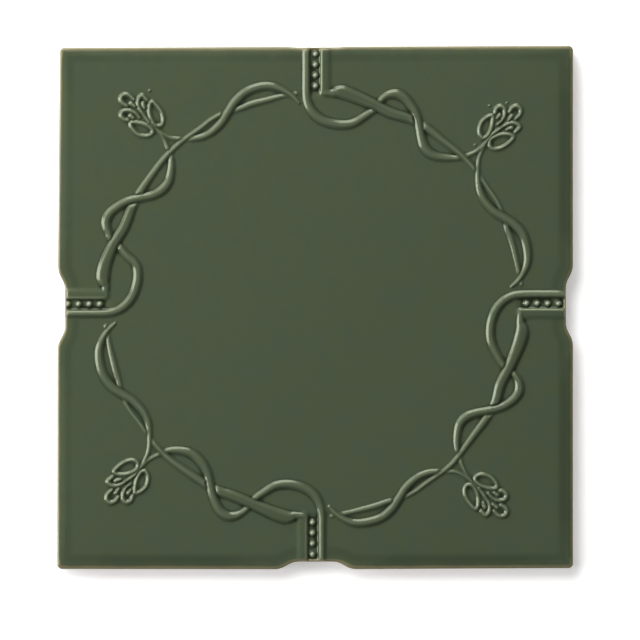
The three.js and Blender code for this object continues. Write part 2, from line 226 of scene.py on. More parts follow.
def rounded_path(points: Points, closed: bool, spacing: float = 0.25) -> np.ndarray:
    """Draws a smooth line through the given points.

    Args:
        points: x, y and half width of each point; a closed line repeats its first point.
        closed: whether the line runs back into itself.
        spacing: the distance between the points of the result.

    Returns:
        An array of x, y and half width.
    """
    p = np.array(points, float)
    if closed:
        p = np.vstack([p[-2], p, p[1]])
    else:
        p = np.vstack([2 * p[0] - p[1], p, 2 * p[-1] - p[-2]])
    drawn = []
    for a, b, c, d in zip(p, p[1:], p[2:], p[3:]):
        steps = max(2, int(math.dist(b[:2], c[:2]) / spacing))
        t = np.linspace(0.0, 1.0, steps, endpoint=False)[:, None]
        bend = 2 * a - 5 * b + 4 * c - d
        twist = -a + 3 * b - 3 * c + d
        drawn.append(0.5 * (2 * b + (c - a) * t + bend * t**2 + twist * t**3))
    drawn.append(p[-2][None, :])
    return np.vstack(drawn)


@dataclass(frozen=True)
class Notch:
    """A shallow notch in the middle of a side, with S-shaped shoulders, in millimetres."""

    depth: float
    foot: float
    reach: float
    middle: float
    bow: float = 0.0
    handles: Pair = (0.49, 0.55)

    def inset(self, along: np.ndarray, half: float) -> np.ndarray:
        """How far the outline stands in from the straight side.

        Args:
            along: places along the side, measured from the tile's middle.
            half: half the length of the side.

        Returns:
            The inset at each place, negative where the side bows out.
        """
        t = np.linspace(0.0, 1.0, 64)
        first, second = self.handles
        run = 3 * (1 - t) ** 2 * t * first + 3 * (1 - t) * t**2 * second + t**3
        rise = (1 - t) ** 3 + 3 * (1 - t) ** 2 * t
        away = np.abs(along - self.middle)
        share = np.interp((away - self.foot) / (self.reach - self.foot), run, rise)
        slack = np.clip((half - away) / (half - self.reach), 0.0, 1.0)
        return self.depth * share - self.bow * slack


@dataclass(frozen=True)
class TileOutline:
    """The cut outline of the tile, a little out of square, in millimetres."""

    width: float = 150.28
    height: float = 152.44
    left_lean: float = 0.8
    top_lean: float = 0.6
    bottom_lean: float = 0.25
    corner_radius: float = 1.4
    pull_fade: int = 8
    notches: dict[Side, Notch] = field(
        default_factory=lambda: {
            Side.TOP: Notch(0.2, 5.6, 8.5, 0.25),
            Side.RIGHT: Notch(2.05, 4.8, 12.0, 0.525),
            Side.BOTTOM: Notch(2.2, 4.8, 12.1, 0.15, 0.2),
            Side.LEFT: Notch(2.15, 5.0, 12.5, 0.1, 0.25),
        }
    )

    def edges(self, x: np.ndarray, y: np.ndarray) -> tuple[np.ndarray, ...]:
        """The place of the four sides beside the given points, as left, right, bottom and top."""
        half_w, half_h = self.width / 2, self.height / 2
        u = x / self.width + 0.5
        v = y / self.height + 0.5
        left = -half_w + self.left_lean * v + self.notches[Side.LEFT].inset(y, half_h)
        right = half_w - self.notches[Side.RIGHT].inset(y, half_h)
        low = -half_h + self.bottom_lean * u + self.notches[Side.BOTTOM].inset(x, half_w)
        top = half_h - self.top_lean * (1 - u) - self.notches[Side.TOP].inset(x, half_w)
        return left, right, low, top

    def depths(self, x: np.ndarray, y: np.ndarray) -> dict[Side, np.ndarray]:
        """How far the given points lie inside each side."""
        left, right, low, top = self.edges(x, y)
        return {Side.TOP: top - y, Side.RIGHT: right - x, Side.BOTTOM: y - low, Side.LEFT: x - left}

    def fit(self, u: np.ndarray, v: np.ndarray, rim: float) -> np.ndarray:
        """Fits a unit square to the outline.

        Args:
            u: places across, from 0 at the left to 1 at the right.
            v: places upwards, from 0 at the bottom to 1 at the top.
            rim: how far the square's border stays inside the outline.

        Returns:
            An array of x and y.
        """
        x, y = (u - 0.5) * self.width, (v - 0.5) * self.height
        no_notch = Notch(depth=0.0, foot=5.0, reach=12.0, middle=0.0)
        plain = TileOutline(notches=dict.fromkeys(Side, no_notch)).edges(x, y)
        true = self.edges(x, y)
        fx = plain[0] + rim + u * (plain[1] - plain[0] - 2 * rim)
        fy = plain[2] + rim + v * (plain[3] - plain[2] - 2 * rim)
        fade = self.pull_fade
        fx += (true[0] - plain[0]) * (1 - u) ** fade + (true[1] - plain[1]) * u**fade
        fy += (true[2] - plain[2]) * (1 - v) ** fade + (true[3] - plain[3]) * v**fade
        return self.round_corners(fx, fy, rim)

    def round_corners(self, x: np.ndarray, y: np.ndarray, rim: float) -> np.ndarray:
        """Turns each square corner of the fitted points into a round one."""
        radius = self.corner_radius - rim
        left, right, low, top = self.edges(x, y)
        for side_x, way_x in ((left, -1), (right, 1)):
            for side_y, way_y in ((low, -1), (top, 1)):
                mid_x = side_x - way_x * self.corner_radius
                mid_y = side_y - way_y * self.corner_radius
                a = (x - mid_x) * way_x / radius
                b = (y - mid_y) * way_y / radius
                near = (a > 0) & (b > 0)
                a, b = np.clip(a, 0, 1), np.clip(b, 0, 1)
                round_x = mid_x + way_x * radius * a * np.sqrt(1 - b * b / 2)
                round_y = mid_y + way_y * radius * b * np.sqrt(1 - a * a / 2)
                x = np.where(near, round_x, x)
                y = np.where(near, round_y, y)
        return np.stack([x, y], axis=1)

    def border(self, count: int) -> np.ndarray:
        """Points all round the outline, that many to each side."""
        t = np.linspace(0.0, 1.0, count, endpoint=False)
        zero, one = np.zeros(count), np.ones(count)
        u = np.concatenate([t, one, 1 - t, zero])
        v = np.concatenate([zero, t, one, 1 - t])
        return self.fit(u, v, 0.0)


@dataclass(frozen=True)
class Quarter:
    """One pressing of the drawing, with its slips and its turn about the wreath's middle.

    The tendril passes over the branch in two of the pressings and under it in the others.
    """

    side: Side
    floor: float
    tendril_over: bool
    middle: Pair = (0.25, -0.125)
    mark_reach: float = 1.0
    mark_fall: float = 1.5
    overrun: float = 1.0

    def place(self, points: np.ndarray) -> np.ndarray:
        """Moves drawn x and y to their place on the tile.

        Args:
            points: an array of x and y in the drawing.

        Returns:
            An array of x and y on the tile.
        """
        marks = np.array(MARKS, float)
        away = ((points[:, None, :2] - marks[None]) ** 2).sum(axis=2)
        weight = (away + self.mark_reach) ** -self.mark_fall
        slip = weight @ np.array(SLIPS[self.side], float) / weight.sum(axis=1)[:, None]
        x, y = (points[:, :2] + slip).T
        turned = {
            Side.TOP: (x, y),
            Side.RIGHT: (y, -x),
            Side.BOTTOM: (-x, -y),
            Side.LEFT: (-y, x),
        }[self.side]
        return np.stack(turned, axis=1) + np.array(self.middle)

    @property
    def start(self) -> float:
        """The drawn height at which this quarter's strap runs out over the tile's edge."""
        return self.floor - SLIPS[self.side][0][1] + self.overrun


@dataclass
class PressedLine:
    """A line of the drawing, ready to be pressed: its points on the tile and their measures."""

    press: Press
    path: np.ndarray
    half_width: np.ndarray
    height: np.ndarray
    over: np.ndarray


@dataclass
class Ornament:
    """The pressed wreath: turns the drawing into measured lines for each quarter."""

    crest_share: float = 0.4
    crest_least: float = 0.22
    crest_most: float = 0.81
    over_reach: float = 2.6
    ridge_height: float = 0.64
    ridge_swell: float = 1.25
    over_hold: float = 0.6
    rail_half_width: float = 1.0
    channel_runout: float = 3.4
    bead_x: float = -0.35
    bead_first: float = 64.25
    bead_pitch: float = 3.1
    bead_count: int = 5
    bead_radius: float = 0.9
    bead_height: float = 1.05
    crumb_length: float = 0.2
    crumb_height: float = 0.5
    quarters: tuple[Quarter, ...] = (
        Quarter(Side.TOP, 75.85, True),
        Quarter(Side.RIGHT, 72.85, False),
        Quarter(Side.BOTTOM, 73.78, True),
        Quarter(Side.LEFT, 73.1, False),
    )

    def crest(self, half_width: np.ndarray) -> np.ndarray:
        """The height of a stem above the face, from its half width."""
        return np.minimum(self.crest_most, self.crest_least + self.crest_share * half_width)

    def over(self, path: np.ndarray, crossings: Pairs) -> np.ndarray:
        """How surely a line is the upper one, from 0 to 1, by the crossings that it passes."""
        result = np.zeros(len(path))
        for x, y in crossings:
            away = np.hypot(path[:, 0] - x, path[:, 1] - y)
            result = np.maximum(result, 1 - smoothstep(self.over_hold, 1.0, away / self.over_reach))
        return result

    def line(
        self,
        quarter: Quarter,
        press: Press,
        points: Points,
        crossings: Pairs = (),
        height: float | None = None,
    ) -> PressedLine:
        """Makes one drawn line ready for one quarter.

        Args:
            quarter: the pressing that the line belongs to.
            press: what the line does to the clay.
            points: the drawn points.
            crossings: where the line is the upper one.
            height: a fixed height, or None to take it from the half width.

        Returns:
            The line on the tile.
        """
        closed = points[0] == points[-1]
        path = rounded_path(points, closed)
        if press is Press.RIDGE:
            path[:, 2] *= self.ridge_swell
        tall = self.crest(path[:, 2]) if height is None else np.full(len(path), height)
        return PressedLine(
            press, quarter.place(path), path[:, 2], tall, self.over(path, crossings)
        )

    def straight(self, quarter: Quarter, press: Press) -> PressedLine:
        """Makes a straight line of the strap; the channel runs out flat towards its end."""
        x, end, half_width, height = STRAP[press]
        points = tuple((x, y, half_width) for y in (quarter.start, STRAP_TURN, end))
        line = self.line(quarter, press, points, height=height)
        if press is Press.CHANNEL:
            run = np.linalg.norm(line.path - line.path[-1], axis=1)
            line.height *= smoothstep(0.0, self.channel_runout, run)
        return line

    def lines(self) -> list[PressedLine]:
        """Returns every line of the four pressings."""
        result = []
        for quarter in self.quarters:
            rail_x = VINE[0][0]
            strap_rail = tuple(
                (rail_x, y, self.rail_half_width) for y in (quarter.start, RAIL_JOIN)
            )
            stem_over, branch_over = STEM_OVER, BRANCH_OVER
            if quarter.tendril_over:
                stem_over += TENDRIL_CROSSING
            else:
                branch_over += TENDRIL_CROSSING
            result += [
                self.line(quarter, Press.STEM, strap_rail + VINE, stem_over),
                self.line(quarter, Press.BRANCH, BRANCH, branch_over),
                self.line(quarter, Press.STEM, TENDRIL, stem_over),
                *(self.straight(quarter, press) for press in STRAP),
            ]
            result += [
                self.line(quarter, Press.RIDGE, ridge, height=self.ridge_height)
                for ridge in PETALS + CURLS + STAMENS
            ]
            last = self.bead_first + (self.bead_count - 1) * self.bead_pitch
            row = quarter.place(np.array([[self.bead_x, last], [self.bead_x, self.bead_first]]))
            half_width, height = np.full(2, self.bead_radius), np.full(2, self.bead_height)
            result.append(PressedLine(Press.BEADS, row, half_width, height, np.zeros(2)))
        return result + [self.crumb(*crumb) for crumb in CRUMBS]

    def crumb(self, x: float, y: float, half_width: float) -> PressedLine:
        """Makes one crumb of clay: a line too short to be seen as one."""
        path = np.array([[x + self.crumb_length * share, y] for share in (0.0, 0.5, 1.0)])
        height = np.full(3, self.crumb_height)
        return PressedLine(Press.RIDGE, path, np.full(3, half_width), height, np.zeros(3))

    def guide(self, press: Press, lines: list[PressedLine]) -> bpy.types.Object:
        """Builds the guide mesh of one group of lines, for the press tree to read.

        Args:
            press: the group.
            lines: every line of the ornament.

        Returns:
            An object of vertices and edges with the lines' measures as attributes.
        """
        chosen = [line for line in lines if line.press is press]
        mesh = bpy.data.meshes.new(press.guide)
        path = np.vstack([line.path for line in chosen])
        flat = np.column_stack([path, np.zeros(len(path))]) * MM
        edges, first = [], 0
        for line in chosen:
            count = len(line.path)
            edges += [(first + i, first + i + 1) for i in range(count - 1)]
            first += count
        mesh.from_pydata(flat.tolist(), edges, [])
        measures = {
            "half_width": np.concatenate([line.half_width for line in chosen]) * MM,
            "height": np.concatenate([line.height for line in chosen]) * MM,
            "over": np.concatenate([line.over for line in chosen]),
        }
        for name, values in measures.items():
            store_values(mesh, name, values)
        return place_object(press.guide, mesh)


@dataclass
class NodeSheet:
    """A node tree under construction, with short calls to add and link its nodes."""

    tree: bpy.types.NodeTree

    def add(self, kind: str, *inputs: object, **settings: object) -> bpy.types.Node:
        """Adds a node.

        Args:
            kind: the node's type name.
            inputs: a value, an output socket or None for each input in order.
            settings: attributes to set on the node before its inputs.

        Returns:
            The new node.
        """
        node = self.tree.nodes.new(kind)
        for name, value in settings.items():
            setattr(node, name, value)
        sockets = [socket for socket in node.inputs if socket.enabled]
        for socket, value in zip(sockets, inputs):
            self.feed(socket, value)
        return node

    def feed(self, socket: Socket, value: object) -> None:
        """Links an output to a socket, or sets the socket's own value."""
        if isinstance(value, Socket):
            self.tree.links.new(value, socket)
        elif value is not None:
            socket.default_value = value

    def offer(self, kind: str, *names: str, way: str = "INPUT") -> None:
        """Gives the tree inputs, or outputs, of one kind."""
        for name in names:
            self.tree.interface.new_socket(name, in_out=way, socket_type=f"NodeSocket{kind}")

    def fill(self, node: bpy.types.Node, values: dict[str, object]) -> None:
        """Feeds a node's inputs by their names."""
        for name, value in values.items():
            self.feed(node.inputs[name], value)

    def math(self, operation: str, *inputs: object) -> Socket:
        """Adds a Math node and returns its result."""
        return self.add("ShaderNodeMath", *inputs, operation=operation).outputs[0]

    def times(self, *inputs: object) -> Socket:
        """Adds a Math node that multiplies two values and returns its result."""
        return self.math("MULTIPLY", *inputs)

    def minus(self, *inputs: object) -> Socket:
        """Adds a Math node that takes the second value from the first and returns its result."""
        return self.math("SUBTRACT", *inputs)

    def ease(
        self, value: object, low: object, high: object, start: float = 0.0, end: float = 1.0
    ) -> Socket:
        """Adds an eased Map Range node and returns its result."""
        node = self.add(
            "ShaderNodeMapRange", value, low, high, start, end, interpolation_type="SMOOTHSTEP"
        )
        return node.outputs[0]

    def named(self, name: str) -> Socket:
        """Adds a node that reads a value kept on the mesh and returns the value."""
        return self.add("GeometryNodeInputNamedAttribute", name, data_type="FLOAT").outputs[0]

    def keep(self, mesh: object, name: str, value: object) -> Socket:
        """Adds a node that keeps a value on the mesh's points and returns the mesh."""
        return self.add(
            "GeometryNodeStoreNamedAttribute",
            mesh, True, name, value, data_type="FLOAT", domain="POINT",
        ).outputs[0]

    def blur(self, value: object, rounds: int) -> Socket:
        """Adds a node that evens a value out between neighbouring points and returns it."""
        node = self.add("GeometryNodeBlurAttribute", value, rounds, 1.0, data_type="FLOAT")
        return node.outputs[0]

    def flat_place(self) -> Socket:
        """Adds nodes that bring each point's place down to the floor and returns it."""
        spot = self.add("GeometryNodeInputPosition").outputs[0]
        return self.add("ShaderNodeVectorMath", spot, (1, 1, 0), operation="MULTIPLY").outputs[0]

    def distance(self, mesh: Socket, place: Socket, target: str) -> Socket:
        """Adds a node that measures how far a place is from a mesh and returns the distance."""
        near = self.add("GeometryNodeProximity", mesh, target_element=target)
        self.feed(near.inputs["Source Position"], place)
        return near.outputs["Distance"]

    def curve(self, value: object, points: Pairs) -> Socket:
        """Adds a Float Curve node through the given points and returns its result."""
        node = self.add("ShaderNodeFloatCurve", 1.0, value)
        line = node.mapping.curves[0]
        while len(line.points) < len(points):
            line.points.new(0.5, 0.5)
        for point, (x, y) in zip(line.points, points):
            point.location = (x, y)
            point.handle_type = "AUTO"
        node.mapping.update()
        return node.outputs[0]


@dataclass
class PressTree:
    """The Geometry Nodes tree that presses the drawn lines into the blank."""

    groove: float = 0.6
    bank: float = 0.3
    soften_rounds: int = 1
    pool_rounds: int = 22
    sharp_rounds: int = 7
    reach_share: float = 1.15
    bead_reach: float = 1.12
    round_crown: Pairs = (
        (0.0, 1.0), (0.22, 0.97), (0.42, 0.86), (0.6, 0.62), (0.77, 0.3), (0.9, 0.08), (1.0, 0.0)
    )
    flat_crown: Pairs = (
        (0.0, 1.0), (0.3, 0.965), (0.49, 0.88), (0.65, 0.7), (0.82, 0.38), (0.94, 0.12), (1.0, 0.0)
    )
    bed_crown: Pairs = (
        (0.0, 1.0), (0.6, 1.0), (0.74, 0.96), (0.85, 0.72), (0.93, 0.32), (1.0, 0.0)
    )
    ridge_crown: Pairs = (
        (0.0, 1.0), (0.15, 0.95), (0.35, 0.8), (0.55, 0.57), (0.75, 0.29), (0.9, 0.08), (1.0, 0.0)
    )
    bead_crown: Pairs = (
        (0.0, 1.0), (0.15, 0.955), (0.3, 0.87), (0.5, 0.76), (0.7, 0.62), (0.87, 0.4), (1.0, 0.0)
    )

    def line_group(self, name: str, crown: Pairs) -> bpy.types.NodeTree:
        """Builds the group that turns a guide into a height over the blank.

        Args:
            name: the group's name.
            crown: the share of the height at each share of the reach from the line.

        Returns:
            The node group, with outputs Height, Gap and Over.
        """
        tree = bpy.data.node_groups.new(name, "GeometryNodeTree")
        sheet = NodeSheet(tree)
        sheet.offer("Geometry", "Lines")
        sheet.offer("Float", "Reach")
        sheet.offer("Float", "Height", "Gap", "Over", way="OUTPUT")
        lines, reach = sheet.add("NodeGroupInput").outputs[:2]
        place = sheet.flat_place()
        distance = sheet.distance(lines, place, "EDGES")
        index = sheet.add("GeometryNodeSampleNearest", lines, place, domain="POINT").outputs[0]
        measures = {}
        for measure in ("half_width", "height", "over"):
            measures[measure] = sheet.add(
                "GeometryNodeSampleIndex", lines, sheet.named(measure), index,
                data_type="FLOAT", domain="POINT",
            ).outputs[0]
        span = sheet.times(measures["half_width"], reach)
        share = sheet.math("MINIMUM", sheet.math("DIVIDE", distance, span), 1.0)
        tall = sheet.times(sheet.curve(share, crown), measures["height"])
        gap = sheet.minus(distance, measures["half_width"])
        sheet.add("NodeGroupOutput", tall, gap, measures["over"])
        return tree

    def build(self) -> bpy.types.NodeTree:
        """Builds the whole tree and returns it."""
        tree = bpy.data.node_groups.new("press_ornament", "GeometryNodeTree")
        sheet = NodeSheet(tree)
        sheet.offer("Geometry", "Blank")
        sheet.offer("Object", *(press.guide for press in Press))
        sheet.offer("Float", "Channel depth", "Groove", "Bead radius", "Bead height")
        sheet.offer("Int", "Bead count")
        sheet.offer("Material", "Glaze")
        sheet.offer("Geometry", "Tile", way="OUTPUT")
        given = sheet.add("NodeGroupInput").outputs
        guides = {
            press: sheet.add("GeometryNodeObjectInfo", given[press.guide]).outputs["Geometry"]
            for press in Press
        }
        round_lines = self.line_group("round_line", self.round_crown)
        flat_lines = self.line_group("flat_line", self.flat_crown)
        ridge_lines = self.line_group("ridge_line", self.ridge_crown)
        bed_lines = self.line_group("bed_line", self.bed_crown)

        def pressed(press: Press, group: bpy.types.NodeTree) -> bpy.types.Node:
            """Adds one group of lines to the tree and returns its node."""
            node = tree.nodes.new("GeometryNodeGroup")
            node.node_tree = group
            sheet.feed(node.inputs["Lines"], guides[press])
            node.inputs["Reach"].default_value = self.reach_share
            return node

        stem = pressed(Press.STEM, round_lines)
        branch = pressed(Press.BRANCH, flat_lines)
        ridge = pressed(Press.RIDGE, ridge_lines)
        ledge = pressed(Press.LEDGE, round_lines)
        slope = pressed(Press.SLOPE, round_lines)
        channel = pressed(Press.CHANNEL, bed_lines)

        def ducked(lower: bpy.types.Node, upper: bpy.types.Node) -> Socket:
            """The height of a line where the other one may pass over it."""
            clear = sheet.ease(upper.outputs["Gap"], 0.0, given["Groove"])
            hidden = sheet.times(sheet.minus(1.0, clear), upper.outputs["Over"])
            return sheet.times(lower.outputs["Height"], sheet.minus(1.0, hidden))

        raised = sheet.math("MAXIMUM", ducked(stem, branch), ducked(branch, stem))
        raised = sheet.math("MAXIMUM", raised, ridge.outputs["Height"])
        shelf = sheet.math("MAXIMUM", ledge.outputs["Height"], slope.outputs["Height"])
        sunk = sheet.math("DIVIDE", channel.outputs["Height"], MM)
        bed = sheet.times(sunk, given["Channel depth"])
        shelf = sheet.times(shelf, sheet.minus(1.0, sunk))
        open_bed = sheet.times(bed, sheet.ease(raised, self.bank * MM, 0.0))
        height = sheet.minus(sheet.math("MAXIMUM", raised, shelf), open_bed)
        crown = self.bead_crowns(sheet, guides[Press.BEADS], given)
        tall = sheet.times(crown, given["Bead height"])
        height = sheet.math("MAXIMUM", height, sheet.minus(tall, bed))
        # the relief fades out where the face turns down into the edge
        height = sheet.times(height, sheet.named("face"))
        kept = sheet.keep(given["Blank"], "relief", sheet.blur(height, self.soften_rounds))
        relief = sheet.named("relief")
        wide = sheet.blur(relief, self.pool_rounds)
        close = sheet.blur(relief, self.sharp_rounds)
        # pool is how deep each point lies below its surroundings; the glaze is darkened there,
        # partly as pooled glaze and partly as painted shade
        marks = {
            "pool": sheet.math("DIVIDE", sheet.minus(wide, relief), MM),
            "sharp": sheet.math("DIVIDE", sheet.minus(relief, close), MM),
            # the bead crowns, whose tops are painted pale: partly thin glaze, partly a painted
            # highlight
            "bead": crown,
        }
        for name, value in marks.items():
            kept = sheet.keep(kept, name, value)
        offset = sheet.add("ShaderNodeCombineXYZ", 0.0, 0.0, relief).outputs[0]
        moved = sheet.add("GeometryNodeSetPosition", kept)
        sheet.feed(moved.inputs["Offset"], offset)
        facing = sheet.add("GeometryNodeInputNormal").outputs[0]
        upright = sheet.add("ShaderNodeSeparateXYZ", facing).outputs["Z"]
        steep = sheet.keep(moved.outputs[0], "steep", sheet.minus(1.0, upright))
        real = sheet.add("GeometryNodeRealizeInstances", steep).outputs[0]
        dressed = sheet.add("GeometryNodeSetMaterial", real)
        sheet.feed(dressed.inputs["Material"], given["Glaze"])
        sheet.add("NodeGroupOutput", dressed.outputs[0])
        return tree

    def bead_crowns(
        self, sheet: NodeSheet, rows: Socket, given: bpy.types.NodeInputs
    ) -> Socket:
        """Sets beads evenly along the rows.

        Args:
            sheet: the tree under construction.
            rows: the rows' guide.
            given: the tree's inputs.

        Returns:
            The share of a bead's height, from 0 beside the beads to 1 on their tops.
        """
        row = sheet.add("GeometryNodeMeshToCurve", rows).outputs[0]
        spots = sheet.add("GeometryNodeResampleCurve", row, mode="COUNT")
        sheet.feed(spots.inputs["Count"], given["Bead count"])
        points = sheet.add("GeometryNodeCurveToPoints", spots.outputs[0], mode="EVALUATED")
        distance = sheet.distance(points.outputs[0], sheet.flat_place(), "POINTS")
        span = sheet.times(given["Bead radius"], self.bead_reach)
        share = sheet.math("MINIMUM", sheet.math("DIVIDE", distance, span), 1.0)
        return sheet.curve(share, self.bead_crown)


@dataclass
class TileBlank:
    """The unpressed tile: a face of graded quads inside the outline, rounded edges, sides, back."""

    outline: TileOutline
    face_height: float = 8.0
    edge_rounding: float = 0.5
    cushion_drop: float = 0.22
    cushion_reach: float = 2.8
    face_fade: float = 0.9
    back_arris: float = 0.35
    rim: float = 0.5
    base_cells: int = 34
    levels: int = 5
    corner_reach: Pair = (1.5, 1.0)
    rim_reach: float = 0.6
    deep_notch: float = 1.0
    corner_cell: float = 0.4
    shoulder_cell: float = 0.7
    rim_cell: float = 1.5
    line_margin: Pair = (0.22, 0.2)
    half_diagonal: float = 0.71
    fine_line: float = 0.48
    row_spots: int = 40
    border_spots: int = 3000
    border_slack: float = 0.1
    far_inside: float = 12.0
    edge_degrees: tuple[int, ...] = (72, 54, 36, 18, 0)
    side_levels: tuple[float, ...] = (5.2, 3.4, 1.6)
    arris_middle: Pair = (0.1, 0.1)

    def reach_of(self, lines: list[PressedLine]) -> tuple[kdtree.KDTree, np.ndarray, np.ndarray]:
        """Gathers the lines' points for the grading of the face.

        Returns:
            A search tree, and for each of its points the half width and the finest level.
        """
        spots, half, level = [], [], []
        for line in lines:
            path, width = line.path, line.half_width
            fine = np.where(width < self.fine_line, self.levels, self.levels - 1)
            if line.press is Press.BEADS:
                share = np.linspace(0, 1, self.row_spots)[:, None]
                path = path[0] + (path[1] - path[0]) * share
                width = np.full(self.row_spots, width[0])
                fine = np.full(self.row_spots, self.levels)
            spots.append(path)
            half.append(width)
            level.append(fine)
        return search_tree(np.vstack(spots)), np.concatenate(half), np.concatenate(level)

    def grade(self, lines: list[PressedLine]) -> list[np.ndarray]:
        """Decides which cells of the face are split.

        Args:
            lines: every line that will be pressed.

        Returns:
            For each level, from coarse to fine, a grid of the cells that are split.
        """
        tree, half, finest = self.reach_of(lines)
        least, growth = self.line_margin
        split = []
        exists = np.ones((self.base_cells, self.base_cells), bool)
        for level in range(self.levels):
            count = self.base_cells * 2**level
            cells = np.argwhere(exists)
            middle = (cells + 0.5) / count
            place = self.outline.fit(middle[:, 0], middle[:, 1], self.rim)
            size = self.outline.width / count
            wanted = np.zeros(len(cells), bool)
            for row, (x, y) in enumerate(place):
                for _, i, away in tree.find_n((x, y, 0.0), 1):
                    deep = finest[i] > level
                    margin = least + growth * (self.levels - level)
                    wanted[row] = deep and away - self.half_diagonal * size < half[i] + margin
            wanted |= self.near_notch(place, size)
            grid = np.zeros((count, count), bool)
            grid[cells[wanted, 0], cells[wanted, 1]] = True
            split.append(grid)
            exists = np.kron(grid, np.ones((2, 2), bool))
        for level in range(self.levels - 1, 0, -1):
            wide = split[level].copy()
            wide[1:] |= split[level][:-1]
            wide[:-1] |= split[level][1:]
            wide[:, 1:] |= split[level][:, :-1]
            wide[:, :-1] |= split[level][:, 1:]
            count = len(wide) // 2
            split[level - 1] |= wide.reshape(count, 2, count, 2).any(axis=(1, 3))
        return split

    def near_notch(self, place: np.ndarray, size: float) -> np.ndarray:
        """Whether cells lie at a corner or a notch shoulder and are still too coarse there."""
        x, y = place.T
        depths = self.outline.depths(x, y)
        to_x = np.minimum(depths[Side.LEFT], depths[Side.RIGHT])
        to_y = np.minimum(depths[Side.BOTTOM], depths[Side.TOP])
        to_corner, to_rim = np.maximum(to_x, to_y), np.minimum(to_x, to_y)
        cells, margin = self.corner_reach
        corner = (to_corner < cells * size + margin) & (size > self.corner_cell)
        shoulder = np.zeros(len(place), bool)
        for side, beside in depths.items():
            notch = self.outline.notches[side]
            if notch.depth > self.deep_notch:
                along = x if side in (Side.TOP, Side.BOTTOM) else y
                near = np.abs(along - notch.middle) < notch.reach + margin
                shoulder |= near & (beside < size) & (size > self.shoulder_cell)
        return corner | shoulder | ((to_rim < self.rim_reach * size) & (size > self.rim_cell))

    def face(
        self, split: list[np.ndarray]
    ) -> tuple[np.ndarray, list[tuple[int, ...]], np.ndarray]:
        """Builds the graded face.

        Args:
            split: the cells that are split, level by level.

        Returns:
            The vertices as x and y, the faces, and the border's vertices in order.
        """
        units = self.base_cells * 2**self.levels
        number = np.full((units + 1, units + 1), -1, np.int64)
        leaves = []
        exists = np.ones((self.base_cells, self.base_cells), bool)
        for level in range(self.levels + 1):
            grid = split[level] if level < self.levels else np.zeros_like(exists)
            step = 2 ** (self.levels - level)
            here = np.argwhere(exists & ~grid) * step
            leaves.append((step, here))
            for dx in (0, step):
                for dy in (0, step):
                    number[here[:, 0] + dx, here[:, 1] + dy] = 1
            exists = np.kron(grid, np.ones((2, 2), bool))
        used = np.argwhere(number > 0)
        number[used[:, 0], used[:, 1]] = np.arange(len(used))
        middles, faces = [], []
        for step, here in leaves:
            half = step // 2
            for i, j in here:
                corners = [
                    number[i, j], number[i + step, j],
                    number[i + step, j + step], number[i, j + step],
                ]
                between = [
                    number[i + half, j], number[i + step, j + half],
                    number[i + half, j + step], number[i, j + half],
                ]
                if half == 0 or max(between) < 0:
                    faces.append(tuple(corners))
                    continue
                loop = []
                for corner, extra in zip(corners, between):
                    loop.append(corner)
                    if extra >= 0:
                        loop.append(extra)
                centre = len(used) + len(middles)
                middles.append((i + half, j + half))
                faces += [(a, b, centre) for a, b in zip(loop, loop[1:] + loop[:1])]
        spots = np.vstack([used, np.array(middles)]) / units
        ring = [(i, 0) for i in range(units)] + [(units, j) for j in range(units)]
        ring += [(i, units) for i in range(units, 0, -1)] + [(0, j) for j in range(units, 0, -1)]
        border = np.array([number[i, j] for i, j in ring if number[i, j] >= 0])
        return self.outline.fit(spots[:, 0], spots[:, 1], self.rim), faces, border

    def build(self, lines: list[PressedLine]) -> bpy.types.Object:
        """Builds the blank, with the attributes that the press tree and the glaze read.

        Args:
            lines: every line that will be pressed, for the grading of the face.

        Returns:
            The blank as an object.
        """
        flat, faces, border = self.face(self.grade(lines))
        inset, outward = self.inset(flat)
        turn = np.arccos(np.clip(1 - inset / self.edge_rounding, -1, 1))
        turn = np.where(inset < self.edge_rounding, turn, math.pi / 2)
        slope = np.clip(1 - inset / self.cushion_reach, 0.0, 1.0) ** 2
        z = self.face_height - self.edge_rounding * (1 - np.sin(turn)) - self.cushion_drop * slope
        vertices = [np.column_stack([flat, z])]
        shares, insets = [smoothstep(0.0, self.face_fade, inset)], [inset]
        start_z = z[border]
        previous = border
        total = len(flat)
        for distance, height in self.edge_rings():
            step = self.rim - distance
            spots = flat[border] + outward[border] * step
            vertices.append(np.column_stack([spots, np.minimum(height, start_z)]))
            shares.append(np.zeros(len(border)))
            insets.append(np.full(len(border), distance if height > 1 else 0.0))
            here = total + np.arange(len(border))
            faces += zip(previous, here, np.roll(here, -1), np.roll(previous, -1))
            previous = here
            total += len(border)
        faces.append(tuple(previous[::-1]))
        mesh = bpy.data.meshes.new("tile_blank")
        spots = (np.vstack(vertices) * MM).tolist()
        mesh.from_pydata(spots, [], [tuple(map(int, corners)) for corners in faces])
        mesh.polygons.foreach_set("use_smooth", [True] * (len(faces) - 1) + [False])
        store_values(mesh, "face", np.concatenate(shares))
        store_values(mesh, "inset", np.concatenate(insets))
        return place_object("tile_blank", mesh)

    def inset(self, flat: np.ndarray) -> tuple[np.ndarray, np.ndarray]:
        """How far the face's points lie inside the outline, and the way out from each."""
        tree = search_tree(self.outline.border(self.border_spots))
        inset = np.full(len(flat), self.far_inside)
        outward = np.zeros((len(flat), 2))
        rough = np.min(list(self.outline.depths(*flat.T).values()), axis=0)
        for i in np.flatnonzero(rough < self.far_inside):
            spot, _, away = tree.find((flat[i, 0], flat[i, 1], 0.0))
            inset[i] = away
            if away < self.rim + self.border_slack:
                outward[i] = ((spot.x - flat[i, 0]) / away, (spot.y - flat[i, 1]) / away)
        return inset, outward

